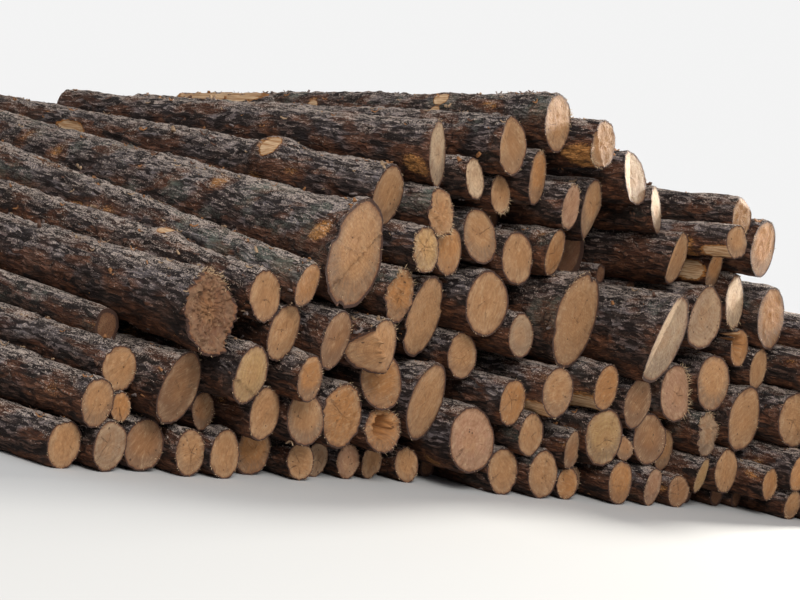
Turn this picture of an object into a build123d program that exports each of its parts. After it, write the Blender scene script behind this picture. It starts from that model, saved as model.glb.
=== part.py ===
from build123d import *
import math
import os

import numpy as np

os.makedirs("parts", exist_ok=True)

# Stack of pine logs, laid in a heap on level ground. All sizes in mm.
# X runs across the stack along the sawn face, Y along the logs with the face
# toward -Y, Z up from the ground. The origin lies on the ground, midway under
# the outer limits of the stack.

# Driving dimensions
STACK_WIDTH = 5780       # width of the whole stack, which sets all thicknesses
DRAWN_WIDTH = 5780       # width at which the places below were read off
LOG_LENGTH = 2500        # short length the logs are cut to
LONG_LENGTH = 3050       # the two logs on the left flank that were left longer
LONG_LOGS = ("flank_long_log", "giant_butt_log")
SET_BACK = 150           # logs that stand farther back than this are the shorter
SEAT_GAP = 0.3           # clearance kept between a log and what it lies on
FACE_TURN_X = 300        # from here to the right the sawn face runs forward
FACE_SKEW = 0.30         # how far it comes forward for each mm to the right
FACE_SKEW_LEFT = 0.06    # the same for the left part
FAR_SLANT = 5            # most that a far cut is turned or tipped, in degrees
CUT_SPARE = 6            # degrees of slant allowed for the lean of the log itself
FLARE_LENGTH = 420       # reach of the root swelling from a butt end
ROOT_SHARE = (1, 0.56, 0.25, 0.06, 0)                        # its four slopes
ROOT_AT = [FLARE_LENGTH * k / 4 for k in range(5)]
FRICTION = 0.9           # how well a log holds its place while the heap settles
SETTLE_STEPS = 1200      # small downward steps in which the heap settles
FIRST_DROP = 3.0         # drop in the first step
LAST_DROP_SHARE = 0.004  # drop in the last step, as a share of the first
WATCH_STEPS = 40         # steps after which the logs close to each other are listed anew
LEFT_OVER = 0.02         # overlap at which the heap counts as at rest
SLICES = {               # where two logs are kept apart, as shares of the length
    True: (0.0, 0.15, 0.5, 1.0),     # they lie along each other, while they sink
    False: np.linspace(0, 1, 21),    # and once they rest
}
NEAR_ENOUGH = 50         # logs this close are watched for touching

# One line for each log: where it lies across the stack, the height of its
# middle over the ground, its thickness at the sawn face and at the far end,
# how far it stands proud of the face line, how many degrees its sawn end is
# turned to the right and tipped up, and the root swelling of its butt.
# The places are those of the photograph, to the nearest 10 mm. Thin logs stand
# back from the face where the ones above need a seat. The heap then settles, so
# each log ends up lying on the ones below it.
COURSES = {
    "ground_left": [
        (-1900, 110, 200, 237, -40, 0, 5, 0),
        (-1685, 110, 220, 252, 0, 5, 3, 0),
        (-1455, 116, 228, 257, -30, -4, 6, 0),
        (-1240, 160, 209, 242, 30, 3, 8, 0),
        (-1030, 170, 213, 247, 40, 2, 9, 0),
        (-750, 110, 220, 252, -50, -5, 4, 0),
        (-510, 160, 175, 202, 30, -8, 8, 0),
        (-290, 85, 170, 202, -60, 4, 3, 0),
        (-90, 85, 170, 202, -40, -3, 6, 0),
        (110, 85, 170, 202, -60, 2, 4, 0),
    ],
    "ground_middle": [
        (350, 150, 173, 185, -30, -9, 9, 0),
        (820, 150, 232, 215, 60, -8, 9, 0),
        (1090, 160, 246, 225, 60, -6, 8, 0),
        (1310, 110, 167, 155, 20, -9, 6, 0),
        (1440, 80, 160, 150, -90, 0, 4, 0),
        (1660, 110, 236, 220, 20, -1, 5, 0),
        (1950, 105, 210, 195, -30, 5, -1, 0),
        (2200, 90, 180, 165, -80, -10, 4, 0),
        (470, 60, 120, 115, -200, 3, 4, 0),
        (670, 60, 118, 115, -240, -4, 2, 0),
    ],
    "ground_right": [
        (2480, 65, 128, 135, -260, 3, 5, 0),
        (2705, 65, 130, 138, -260, -4, 3, 0),
        (2800, 190, 184, 200, -30, 0, 2, 0),
        (3030, 100, 167, 180, -40, -6, -3, 0),
        (3215, 100, 200, 190, 60, 5, 4, 0),
        (3420, 105, 210, 200, 20, -3, 6, 0),
        (3630, 105, 210, 200, -30, 2, 3, 0),
        (2885, 60, 118, 124, -280, 2, 4, 0),
    ],
    "second_left": [
        (-1790, 290, 210, 255, 0, 5, 4, 0),
        (-1640, 280, 120, 155, -30, -3, 6, 0),
        (-1110, 325, 165, 205, -60, 4, 8, 0),
        (-860, 320, 239, 290, 70, 5, 5, 0),
        (-620, 330, 246, 285, 100, -5, 10, 0),
        (-330, 320, 311, 315, 70, 2, 4, 0),
    ],
    "second_middle": [
        (230, 410, 367, 315, 90, 12, -6, 20),
        (570, 260, 328, 290, 90, -9, 8, 0),
        (940, 340, 227, 210, 80, 1, 2, 0),
        (1250, 300, 201, 190, 50, 8, 1, 0),
        (1500, 350, 301, 270, 10, -7, 5, 0),
        (570, 500, 135, 130, -350, 2, 4, 0),
    ],
    "second_right": [
        (1900, 300, 283, 255, -70, -8, 5, 0),
        (2160, 240, 235, 215, -190, 4, 4, 0),
        (2370, 170, 204, 190, -100, 12, -9, 0),
        (2590, 240, 255, 230, -140, -1, 4, 0),
        (2990, 290, 238, 220, -0, -5, -4, 0),
        (3270, 310, 245, 225, 30, 4, 5, 0),
        (3520, 310, 240, 225, -20, -4, 4, 0),
    ],
    "third_left": [
        (-1400, 410, 309, 318, 50, 14, -8, 18),
        (-1130, 570, 269, 313, 170, 9, -2, 0),
        (-750, 520, 213, 263, 190, 7, 3, 0),
        (-1540, 620, 158, 193, -300, 3, 4, 0),
        (-1665, 470, 200, 243, -60, -3, 5, 0),
        (-430, 525, 150, 188, -300, -3, 4, 0),
    ],
    "third_middle": [
        (-100, 480, 266, 265, 70, -12, 10, 0),
        (760, 500, 240, 225, 100, 1, 1, 0),
        (1010, 570, 262, 235, 120, -4, 3, 0),
        (1410, 640, 252, 225, 40, 2, -2, 0),
        (690, 680, 140, 135, -300, -3, 3, 0),
        (840, 670, 130, 125, -320, 2, 4, 0),
        (1230, 500, 190, 180, -280, -3, 4, 0),
    ],
    "third_right": [
        (1750, 570, 269, 245, -30, -1, -1, 0),
        (2040, 590, 316, 280, -80, -6, 6, 0),
        (2360, 400, 255, 235, -110, 5, 1, 0),
        (2650, 540, 343, 310, -150, -1, 1, 12),
        (2990, 570, 323, 290, -110, -8, 4, 0),
        (3290, 545, 235, 225, 0, 3, 6, 0),
        (1965, 810, 148, 140, -350, 3, 3, 0),
    ],
    "fourth_left": [
        (-560, 670, 279, 333, 150, 13, -6, 0),
        (-910, 700, 265, 318, 130, 7, -2, 0),
        (-1080, 870, 223, 283, 150, 2, 8, 0),
        (-915, 1000, 206, 283, 200, 12, -8, 0),
    ],
    "fourth_middle": [
        (-170, 890, 271, 260, 140, 10, -3, 0),
        (500, 670, 228, 215, -0, -6, 9, 0),
        (780, 840, 221, 205, 50, -2, 7, 0),
        (530, 960, 333, 295, 50, -4, 4, 0),
        (800, 1030, 160, 150, -350, 4, 2, 0),
        (-90, 690, 140, 150, -300, 3, 5, 0),
    ],
    "fourth_right": [
        (2340, 690, 321, 290, -130, -5, 6, 0),
        (2760, 820, 241, 225, -210, 4, 2, 0),
        (3040, 850, 230, 215, 0, 4, 4, 0),
        (3270, 770, 215, 205, -30, -4, 6, 0),
        (3180, 1040, 250, 230, 40, 5, 3, 0),
        (2310, 935, 160, 150, -380, 3, 3, 0),
        (2550, 770, 126, 120, -330, -3, 2, 0),
        (1390, 1130, 116, 112, -350, -3, 2, 0),
    ],
    "fifth_left": [
        (-110, 1120, 216, 180, 180, 2, 10, 0),
        (20, 1300, 230, 180, 130, 4, 15, 0),
        (210, 1160, 243, 235, 60, 2, 5, 0),
        (420, 1300, 272, 245, 20, -3, 18, 0),
        (-270, 1180, 140, 210, -300, 2, 4, 0),
    ],
    "fifth_middle": [
        (700, 1220, 260, 235, 10, -4, 9, 0),
        (950, 1270, 242, 220, -10, 12, -4, 0),
        (1240, 1480, 321, 280, -120, 15, 1, 0),
        (1820, 1360, 285, 255, -80, 22, -8, 0),
        (1290, 1235, 130, 125, -400, 4, -2, 0),
        (1510, 1310, 325, 300, -450, -3, 5, 0),
        (1140, 1270, 136, 130, -350, 3, 3, 0),
    ],
    "fifth_right": [
        (2070, 1040, 331, 295, -50, -4, 2, 10),
        (2400, 1160, 310, 285, -150, 10, 7, 0),
        (2760, 1140, 346, 310, -200, 1, 5, 0),
        (2180, 1290, 215, 200, -130, 8, -4, 0),
        (1890, 1165, 132, 126, -350, 3, 3, 0),
        (2570, 1310, 130, 124, -380, 3, 3, 0),
        (2160, 1450, 98, 94, -330, -3, 2, 0),
        (1680, 1218, 104, 100, -380, 3, 3, 0),
    ],
    "upper_left": [
        (300, 1540, 207, 195, 60, 9, 16, 0),
        (530, 1500, 193, 180, 0, 2, 12, 0),
        (50, 1610, 320, 205, 10, 22, 10, 0),
        (460, 1730, 289, 250, 60, 14, 7, 0),
        (210, 1370, 165, 170, -350, 2, 4, 0),
        (825, 1420, 150, 145, -300, 5, 3, 0),
    ],
    "upper_right": [
        (730, 1620, 282, 255, 0, 17, 4, 0),
        (980, 1540, 232, 210, 10, 10, 0, 0),
        (1460, 1690, 293, 260, -130, 16, 18, 0),
        (1080, 1830, 250, 225, 20, 4, 6, 0),
        (1710, 1600, 246, 220, -150, 18, 16, 0),
        (900, 1725, 150, 145, -350, -4, 3, 0),
        (1110, 1650, 106, 100, -330, -3, 2, 0),
        (1490, 1512, 76, 74, -400, 3, 3, 0),
    ],
    "upper_far_right": [
        (2020, 1490, 182, 165, 100, -9, 8, 0),
        (2190, 1600, 206, 185, -40, -3, 9, 0),
        (2430, 1490, 324, 285, -70, 5, 1, 0),
    ],
    "flank_long_log": [(-230, 1390, 290, 230, 0, 8, -4, 0)],
    "giant_butt_log": [(-570, 1060, 444, 360, 160, 8, -3, 38)],
    "torn_butt_log": [(-1380, 830, 333, 240, 120, 4, 14, 18)],
    "top_log": [(790, 1910, 291, 190, 0, 6, 5, 0)],
    "step_cut_log": [(-290, 660, 261, 280, 190, 9, 6, 0)],
    "lobed_butt_log": [(170, 830, 384, 330, 30, 14, -8, 25)],
    "large_middle_log": [(1130, 940, 479, 405, 30, 8, -4, 22)],
    "large_right_log": [(1650, 940, 465, 410, 100, 22, -13, 25)],
    "hollow_log": [(2560, 950, 213, 200, -190, 0, 6, 0)],
    "broken_hollow_log": [(-30, 250, 219, 225, 80, -12, 10, 0)],
    "thin_log": [(1710, 360, 128, 120, -40, -15, 9, 0)],
}

# What sets single logs apart, each with its direction round the log in degrees
# (0 to the right, 90 up). Branch stubs: distance from the sawn face, direction,
# thickness, height over the bark.
STUBS = {
    "flank_long_log": [(660, 135, 110, 45)],
    "top_log": [(650, 140, 90, 10), (1480, 165, 70, 12)],
}
STUB_ROOT = 0.85         # thickness of a stub at the middle of the log, to its radius
# Flutes between the root swellings of a butt: direction, width.
FLUTES = {
    "giant_butt_log": [(35, 120), (160, 120), (262, 110)],
    "torn_butt_log": [(60, 90), (200, 90)],
    "lobed_butt_log": [(20, 130), (205, 120)],
    "large_middle_log": [(75, 110), (195, 100)],
    "large_right_log": [(100, 110), (230, 110)],
}
FLUTE_INSET = 0.30       # share of its width by which a flute is let into the log
FLUTE_LENGTH = 800       # over which a flute would run out to nothing
# Hearts rotted hollow: direction and share of the radius to the middle of the
# hollow, its width at the sawn face, its depth.
HOLLOWS = {
    "hollow_log": [(140, 0.30, 95, 150)],
    "broken_hollow_log": [(75, 0.10, 110, 120)],
}
HOLLOW_TAPER = 0.6       # width at the bottom of a hollow to that at its mouth
# Felling notches: direction, share of the thickness taken off the sawn face,
# slope of the cut to the log in degrees.
NOTCHES = {"step_cut_log": [(215, 0.34, 30)]}

NODES = list(COURSES)
NODE_OF = [node for node in NODES for row in COURSES[node]]
SIZE_FACTOR = STACK_WIDTH / DRAWN_WIDTH
LENGTH = np.array([LONG_LENGTH if node in LONG_LOGS else LOG_LENGTH for node in NODE_OF])
ROWS = np.array([row for node in NODES for row in COURSES[node]], float)
ACROSS, UP, FACE_D, FAR_D = (ROWS[:, k] * SIZE_FACTOR for k in range(4))
UNEVEN, TURN, TIP, SWELL = (ROWS[:, k] for k in range(4, 8))
COUNT = len(ROWS)


def face_line(across):
    """How far the sawn face stands forward at a place across the stack."""
    right = np.maximum(across - FACE_TURN_X, 0)
    return FACE_SKEW_LEFT * np.minimum(across, FACE_TURN_X) + FACE_SKEW * right


FRONT = -LOG_LENGTH / 2 - face_line(ACROSS) - UNEVEN   # y of each sawn face
SHORTER = np.maximum(-UNEVEN - SET_BACK, 0)
BACK = FRONT + LENGTH - SHORTER                         # y of each far end
FAR_TURN = FAR_SLANT * np.sin(2.4 * np.arange(COUNT))  # slant of the far cuts,
FAR_TIP = FAR_SLANT * np.sin(1.7 * np.arange(COUNT))   # different for each log
LIP = (FACE_D / 2 + SWELL) * np.tan(np.radians(np.hypot(TURN, TIP) + CUT_SPARE))
TAIL = FAR_D / 2 * np.tan(np.radians(np.hypot(FAR_TURN, FAR_TIP) + CUT_SPARE))
START = FRONT - LIP      # the stem as it is before the slanted saw cuts
END = BACK + TAIL
FRONT_PLANE = -LOG_LENGTH / 2                          # the two planes in which
BACK_PLANE = LOG_LENGTH / 2                            # log middles are kept


def radius(i, y):
    """Radius of the logs i at y: even taper plus the swelling of the butt."""
    y = np.clip(y, START[i], END[i])
    even = FACE_D[i] + (FAR_D[i] - FACE_D[i]) * (y - FRONT[i]) / LENGTH[i]
    return even / 2 + SWELL[i] * np.interp(y - START[i], ROOT_AT, ROOT_SHARE)


def middle(near, far, i, y):
    """Middle (x, z) of the logs i at y, between the two planes."""
    share = ((y - FRONT_PLANE) / (BACK_PLANE - FRONT_PLANE))[:, None]
    return near[i] * (1 - share) + far[i] * share


def neighbours(near, far):
    """Pairs of logs close enough to touch, with the y range they share."""
    a, b = np.triu_indices(COUNT, 1)
    places = (near, (near + far) / 2, far)
    apart = np.min([np.linalg.norm(at[a] - at[b], axis=1) for at in places], axis=0)
    thick = np.maximum(FACE_D, FAR_D) / 2 + SWELL
    close = apart < thick[a] + thick[b] + NEAR_ENOUGH
    a, b = a[close], b[close]
    return a, b, np.maximum(START[a], START[b]), np.minimum(END[a], END[b])


def pair_gap(near, far, a, b, y):
    """Gap between logs a and b seen from the place y on a, and its direction."""
    step = middle(near, far, a, y) - middle(near, far, b, y)
    lean = (far[b] - near[b]) / (BACK_PLANE - FRONT_PLANE)
    stretch = np.sqrt(1 + (lean ** 2).sum(1))
    along = (step * lean).sum(1) / stretch
    apart = np.sqrt(np.maximum((step ** 2).sum(1) - along ** 2, 1e-9))
    gap = apart - radius(a, y) - radius(b, y + along / stretch)
    return gap - SEAT_GAP, step / np.linalg.norm(step, axis=1)[:, None]


def settle():
    """Let the heap sink in small steps until each log lies on others."""
    near = np.stack([ACROSS, UP], 1)
    far = near.copy()
    for step in range(2 * SETTLE_STEPS):
        sinking = step < SETTLE_STEPS
        if step % WATCH_STEPS == 0:
            a, b, start, end = neighbours(near, far)
        if sinking:
            drop = FIRST_DROP * LAST_DROP_SHARE ** (step / SETTLE_STEPS)
            for ends in (near, far):
                ends[:, 1] -= drop
                hold = FRICTION * drop
                ends[:, 0] += np.clip(ACROSS - ends[:, 0], -hold, hold)
        deepest = 0.0
        for turn in range(3 if sinking else 1):
            deepest = min(deepest, push_apart(near, far, a, b, start, end, sinking))
        if not sinking and deepest > -LEFT_OVER:
            break
    return near, far


def push_apart(near, far, a, b, start, end, sinking):
    """Move overlapping logs apart, the upper one more. Returns the worst overlap."""
    worst = 0.0
    shift = {"near": np.zeros((COUNT, 2)), "far": np.zeros((COUNT, 2))}
    touches = np.zeros(COUNT)
    places = [start + (end - start) * share for share in SLICES[sinking]]
    for y in places:
        gap, away = pair_gap(near, far, a, b, y)
        hit = gap < 0
        if not hit.any():
            continue
        worst = min(worst, gap.min())
        rise = (near[a] + far[a] - near[b] - far[b])[hit][:, 1] / 2
        if sinking:
            upper = 0.5 + 0.35 * np.clip(rise / 80, -1, 1)
        else:
            upper = 0.5 + 0.5 * np.clip(rise / 20, -1, 1)
        share = (y[hit] - FRONT_PLANE) / (BACK_PLANE - FRONT_PLANE)
        norm = (1 - share) ** 2 + share ** 2
        for who, weight, sign in ((a[hit], upper, 1), (b[hit], 1 - upper, -1)):
            move = (sign * weight * -gap[hit])[:, None] * away[hit]
            np.add.at(shift["near"], who, move * ((1 - share) / norm)[:, None])
            np.add.at(shift["far"], who, move * (share / norm)[:, None])
            np.add.at(touches, who, (weight > 0.02) * 0.45)
    steps = np.maximum(touches, 1)[:, None]
    near += shift["near"] / steps
    far += shift["far"] / steps
    every = np.arange(COUNT)
    for y in (START, END):
        share = (y - FRONT_PLANE) / (BACK_PLANE - FRONT_PLANE)
        height = near[:, 1] * (1 - share) + far[:, 1] * share
        lift = np.maximum(radius(every, y) + SEAT_GAP - height, 0)
        worst = min(worst, -lift.max())
        norm = (1 - share) ** 2 + share ** 2
        near[:, 1] += lift * (1 - share) / norm
        far[:, 1] += lift * share / norm
    return worst


NEAR, FAR = settle()


# Solids of the logs
RAISED = (Align.CENTER, Align.CENTER, Align.MIN)       # cones stand on their place


def point(i, y):
    """Middle of log i at y, as a point in space."""
    x, z = middle(NEAR, FAR, np.array([i]), np.array([y]))[0]
    return Vector(x, y, z)


def cut_plane(i, y, turn, tip, side):
    """Saw cut through the middle of log i at y, facing out on that side."""
    turn, tip = math.radians(turn), math.radians(tip)
    flat = math.cos(tip)
    out = Vector(math.sin(turn) * flat, side * math.cos(turn) * flat, math.sin(tip))
    return Plane(origin=point(i, y), z_dir=out)


def axis_of(i):
    """Direction of log i from the sawn face to the far end."""
    return (point(i, END[i]) - point(i, START[i])).normalized()


def way_round(i, direction):
    """Direction square to log i, turned from its right side upward."""
    turned = math.radians(direction)
    right = axis_of(i).cross(Vector(0, 0, 1)).normalized()
    return right * math.cos(turned) + right.cross(axis_of(i)) * math.sin(turned)


def notch_plane(i, direction, share, slope):
    """Slanted cut of a felling notch, facing out of log i."""
    out, slope = way_round(i, direction), math.radians(slope)
    edge = point(i, FRONT[i]) + out * FACE_D[i] * (0.5 - share)
    return Plane(origin=edge, z_dir=out * math.cos(slope) - axis_of(i) * math.sin(slope))


def log_solid(i):
    """One log: a turned stem with its root swelling, sawn off at both ends."""
    roots = ROOT_AT[1:] if SWELL[i] > 0 else []
    stations = [START[i], *(START[i] + at for at in roots), END[i]]
    start = point(i, START[i])
    axis = point(i, END[i]) - start
    stretch = axis.length / (END[i] - START[i])
    outline = [(float(radius(i, y)), (y - START[i]) * stretch) for y in stations]
    along = Plane(origin=start, z_dir=axis)
    with BuildPart() as log:
        with BuildSketch(Plane(origin=start, x_dir=along.x_dir, z_dir=-along.y_dir)):
            with BuildLine():
                Polyline((0, 0), *outline, (0, outline[-1][1]), close=True)
            make_face()
        revolve(axis=Axis(start, axis))
        for reach, direction, thick, proud in STUBS.get(NODE_OF[i], []):
            y = FRONT[i] + reach
            side = way_round(i, direction)
            with Locations(Plane(origin=point(i, y), x_dir=axis_of(i), z_dir=side)):
                Cone(STUB_ROOT * thick, thick / 2, float(radius(i, y)) + proud, align=RAISED)
        for direction, width in FLUTES.get(NODE_OF[i], []):
            middle_out = outline[0][0] + (0.5 - FLUTE_INSET) * width
            flute = start + way_round(i, direction) * middle_out
            with Locations(Plane(origin=flute, z_dir=axis)):
                Cone(width / 2, 0, FLUTE_LENGTH, align=RAISED, mode=Mode.SUBTRACT)
        for direction, share, width, depth in HOLLOWS.get(NODE_OF[i], []):
            mouth = start + way_round(i, direction) * FACE_D[i] / 2 * share
            with Locations(Plane(origin=mouth, z_dir=axis)):
                bottom = HOLLOW_TAPER * width / 2
                Cone(width / 2, bottom, LIP[i] + depth, align=RAISED, mode=Mode.SUBTRACT)
        for direction, share, slope in NOTCHES.get(NODE_OF[i], []):
            split(bisect_by=notch_plane(i, direction, share, slope), keep=Keep.BOTTOM)
        split(bisect_by=cut_plane(i, FRONT[i], TURN[i], TIP[i], -1), keep=Keep.BOTTOM)
        split(bisect_by=cut_plane(i, BACK[i], FAR_TURN[i], FAR_TIP[i], 1), keep=Keep.BOTTOM)
    return log.part


LOGS = [log_solid(i) for i in range(COUNT)]
LIMITS = Compound(children=[log.solid() for log in LOGS]).bounding_box()
TO_ORIGIN = Location((-LIMITS.center().X, -LIMITS.center().Y, -LIMITS.min.Z))

for node in NODES:
    members = [LOGS[i].moved(TO_ORIGIN) for i in range(COUNT) if NODE_OF[i] == node]
    with BuildPart() as group:
        for member in members:
            add(member)
    group.part.label = node
    export_step(group.part, f"parts/{node}.step")
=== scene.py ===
# %% [markdown]
# # A heap of pine logs
# The heap is 133 loose logs, sawn off at both ends, with their bark on.
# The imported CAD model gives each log's place, thickness, taper and saw cuts. This
# lesson dresses those logs: it wraps each one in rough bark, gives it sawn ends with
# rings and splinters, and lights the heap like goods in a studio. All sizes are in
# metres, in the same frame as the CAD.

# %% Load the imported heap
import math

import bpy
import numpy as np
from mathutils import Matrix


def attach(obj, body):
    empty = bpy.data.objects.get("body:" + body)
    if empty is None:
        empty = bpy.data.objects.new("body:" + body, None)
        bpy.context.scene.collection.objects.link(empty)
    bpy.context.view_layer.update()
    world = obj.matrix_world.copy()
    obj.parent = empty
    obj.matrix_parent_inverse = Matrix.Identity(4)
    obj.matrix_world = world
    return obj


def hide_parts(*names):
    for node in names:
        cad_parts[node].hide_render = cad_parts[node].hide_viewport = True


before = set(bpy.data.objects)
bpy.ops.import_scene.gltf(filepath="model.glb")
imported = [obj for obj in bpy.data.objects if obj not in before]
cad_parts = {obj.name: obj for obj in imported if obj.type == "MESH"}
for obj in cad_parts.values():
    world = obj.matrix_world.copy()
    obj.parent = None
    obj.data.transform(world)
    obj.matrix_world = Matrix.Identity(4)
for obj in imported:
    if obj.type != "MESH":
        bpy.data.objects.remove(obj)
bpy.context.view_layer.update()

# %% [markdown]
# Three small helpers serve the whole lesson: one makes directions one metre long, one
# puts an object in the scene, and one turns a camera or a lamp to where it looks.

# %% Directions, objects and poses
UP = np.array([0.0, 0.0, 1.0])
SQUARE = (-1, -1), (1, -1), (1, 1), (-1, 1)  # corners of a square round the origin


def unit(directions):
    """The same directions, each one metre long."""
    return directions / np.linalg.norm(directions, axis=-1, keepdims=True)


def put_in_scene(name, data):
    """A new object at the origin that shows the data."""
    thing = bpy.data.objects.new(name, data)
    bpy.context.scene.collection.objects.link(thing)
    return thing


def pose(side, up, back, place):
    """The pose of a camera or lamp, from its own three directions and its place."""
    matrix = np.eye(4)
    matrix[:3] = np.stack([side, up, back, place], axis=1)
    return Matrix(matrix.tolist())


print("up is", UP)

# %% [markdown]
# ## Measuring the logs
# A node holds several logs that don't touch. Their axes could be typed in again, but
# then they would drift away from the CAD as soon as it changes. Reading them from the
# mesh keeps both in step. First the mesh of a node is taken apart into logs: corners
# at one place are merged, and each corner then takes the lowest number among the
# corners it shares a face with, until every log has one number.

# %% Take a node apart into its logs
MERGE = 5e-5  # corners closer than this are one


def corners_and_faces(node):
    """Merged corners of a node's mesh in their first order, and its triangles."""
    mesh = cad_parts[node].data
    mesh.calc_loop_triangles()
    places = np.empty(len(mesh.vertices) * 3, np.float32)
    mesh.vertices.foreach_get("co", places)
    faces = np.empty(len(mesh.loop_triangles) * 3, np.int32)
    mesh.loop_triangles.foreach_get("vertices", faces)
    places = places.reshape(-1, 3).astype(float)
    keys = np.round(places / MERGE).astype(np.int64)
    _, first, same = np.unique(keys, axis=0, return_index=True, return_inverse=True)
    order = np.argsort(first)
    rank = np.empty_like(order)
    rank[order] = np.arange(len(order))
    return places[first[order]], rank[same.ravel()][faces].reshape(-1, 3)


def log_numbers(count, faces):
    """The lowest corner number of the log that each corner belongs to."""
    label = np.arange(count)
    while True:
        spread = label.copy()
        np.minimum.at(spread, faces.ravel(), np.repeat(label[faces].min(axis=1), 3))
        spread = spread[spread]
        if np.array_equal(spread, label):
            return label
        label = spread


# %% [markdown]
# ## Fitting a stem to each log
# A log is a straight taper with, on some, a root swelling at the butt. Its axis is
# found by least squares: each corner's distance from a trial axis should be the
# radius there, so the axis is shifted at both ends, and the radius, taper and
# swelling are solved together. Corners on knots or torn wood don't fit the stem, and
# are left out on the next turn. The saw cuts are the planes of the end faces.

# %% Fit axis, taper, swelling and saw cuts
FLARE_REACH = 0.42  # how far a root swelling reaches from the butt
FLARE_AT = np.linspace(0, FLARE_REACH, 5)
FLARE_SHARE = np.array([1, 0.56, 0.25, 0.06, 0])
IN_PLANE = 0.0005  # faces this near the plane of a saw cut belong to it
NEAR_RIM = 0.001   # corners this near the plane, and not near the axis, are its rim
FIT_TURNS = 6      # times that the fit is made, each time without the corners that are off
LEAST_MISS = 0.002      # corners nearer to the fitted stem than this always count
LEAST_SWELLING = 0.004  # what is less is only unevenness


def flare(s):
    """Share of the root swelling left at the distance s from the butt."""
    return np.interp(s, FLARE_AT, FLARE_SHARE)


def measured_log(points, faces):
    """Axis, radii and saw cuts of one log, from its corners and triangles."""
    corner = points[faces]
    cross = np.cross(corner[:, 1] - corner[:, 0], corner[:, 2] - corner[:, 0])
    area = np.linalg.norm(cross, axis=1)
    rough = np.linalg.svd(points - points.mean(0), full_matrices=False)[2][0]
    rough = rough * np.sign(rough[1])
    cuts = []
    for side in (-1, 1):
        facing = np.flatnonzero((cross @ rough) * side > 0.7 * area)
        centres, normals = corner[facing].mean(1), cross[facing] / area[facing][:, None]
        off = ((centres[None] - corner[facing][:, None, 0]) * normals[:, None]).sum(-1)
        shared = (np.abs(off) < IN_PLANE) & (normals @ normals.T > 0.999)
        best = np.argmax(shared @ area[facing])
        normal, in_plane = normals[best], facing[shared[best]]
        weight = area[in_plane][:, None]
        cuts.append(((corner[in_plane].mean(1) * weight).sum(0) / weight.sum(), normal))
    start, end = cuts[0][0].copy(), cuts[1][0].copy()
    use = np.ones(len(points), bool)
    for _ in range(FIT_TURNS):
        along = unit(end - start)
        right = unit(np.cross(along, UP))
        over = np.cross(right, along)
        length = (end - start) @ along
        s = (points - start) @ along
        t = s / length
        out = points - start - s[:, None] * along
        far = np.maximum(np.linalg.norm(out, axis=1), 1e-6)
        a, b = (out @ right) / far, (out @ over) / far
        sums = np.stack([a * (1 - t), b * (1 - t), a * t, b * t,
                         np.ones(len(t)), t, flare(s - s.min())], 1)
        found = np.linalg.lstsq(sums[use], far[use], rcond=None)[0]
        off = np.abs(sums @ found - far)
        use = off < max(3 * np.median(off), LEAST_MISS)
        start = start + found[0] * right + found[1] * over
        end = end + found[2] * right + found[3] * over
    return {"start": start, "along": along, "right": right, "over": over, "length": length,
            "radius": found[4], "taper": found[5], "low": s.min(), "cuts": cuts,
            "swelling": found[6] if found[6] > LEAST_SWELLING else 0.0}


def rim_shape(log, points, side):
    """Distance from the axis to the edge of a sawn face, for angles all round, as a
    share of the fitted stem there. Roots and the flutes between them show in it."""
    spot, normal = log["cuts"][side]
    s = (points - log["start"]) @ log["along"]
    out = points - log["start"] - s[:, None] * log["along"]
    far = np.linalg.norm(out, axis=1)
    even = log["radius"] + log["taper"] * s / log["length"]
    stem = even + log["swelling"] * flare(s - log["low"])
    on_rim = (np.abs((points - spot) @ normal) < NEAR_RIM) & (far > 0.7 * stem)
    angle = np.arctan2(out @ log["over"], out @ log["right"])[on_rim]
    order = np.argsort(angle)
    return angle[order], (far / stem)[on_rim][order]


LOGS = {}
for node in sorted(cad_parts):
    points, faces = corners_and_faces(node)
    number = log_numbers(len(points), faces)
    for label in np.unique(number):
        mine = faces[number[faces[:, 0]] == label]
        used, local = np.unique(mine, return_inverse=True)
        log = measured_log(points[used], local.reshape(-1, 3))
        log["rims"] = [rim_shape(log, points[used], side) for side in (0, 1)]
        LOGS.setdefault(node, []).append(log)
    LOGS[node].sort(key=lambda log: log["start"][0] + 0.25 * log["start"][2])
print("logs:", sum(len(logs) for logs in LOGS.values()))

# %% [markdown]
# ## Camera
# The heap is seen from the left of its sawn face, nearly level, with a long lens, and
# the camera is rolled by about eleven degrees, so that the heap seems to run downhill
# to the right. The camera comes first, so that every later step can be looked at.

# %% Camera
AZIMUTH, DIP, ROLL = math.radians(54.0), math.radians(3.0), math.radians(11.5)
CAMERA_PLACE = np.array([-9.317, -7.217, 1.441])
LENS = 99.0

forward = np.array([math.sin(AZIMUTH) * math.cos(DIP),
                    math.cos(AZIMUTH) * math.cos(DIP), -math.sin(DIP)])
level = np.array([math.cos(AZIMUTH), -math.sin(AZIMUTH), 0.0])
upright = np.cross(level, forward)
across = level * math.cos(ROLL) + upright * math.sin(ROLL)
above = upright * math.cos(ROLL) - level * math.sin(ROLL)

camera = put_in_scene("camera", bpy.data.cameras.new("camera"))
camera.data.lens = LENS
camera.data.sensor_width = 36.0  # as in a full-frame camera
camera.data.clip_end = 200.0
camera.matrix_world = pose(across, above, -forward, CAMERA_PLACE)
bpy.context.scene.camera = camera
print("camera at", CAMERA_PLACE.round(2))

# %% [markdown]
# ## Roughness that closes on itself
# Bark isn't a smooth tube, and a pattern laid round a log has to meet itself where it
# closes. A sum of waves with whole numbers round the log always does. For the scaly
# plates of pine bark, the surface is divided like drying mud: seeds are strewn over
# the unrolled log, each point belongs to its nearest seed, and where the nearest and
# the second nearest are equally far there is a furrow.

# %% Waves and plates over the unrolled log
LONGEST = 4.0       # metres that the grid of plates covers, more than any log has
FURROW_SIDE = 0.35  # how far the side of a furrow slopes, in cells


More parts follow.
